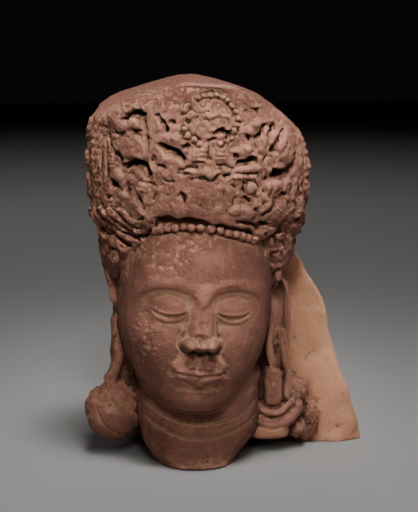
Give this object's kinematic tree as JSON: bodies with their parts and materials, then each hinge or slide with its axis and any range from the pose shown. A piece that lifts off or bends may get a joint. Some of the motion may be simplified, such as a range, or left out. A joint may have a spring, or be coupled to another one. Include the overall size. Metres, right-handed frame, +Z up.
{
  "type": "carved stone head sculpture",
  "caption": "Carved red sandstone head of a crowned deity, broken at the neck, with a tall relief-carved crown, one long ear with earring and a fragment of its back slab.",
  "frame": {"origin": "middle of the neck on the flat underside", "axes": "+Z up along the height, the face looks along -Y, +X to the viewer's right"},
  "size_m": [0.3064, 0.2208, 0.4034],
  "materials": {
    "sandstone": "weathered, unpolished"
  },
  "bodies": {
    "root": {"carved_head": "sandstone"}
  },
  "joints": []
}
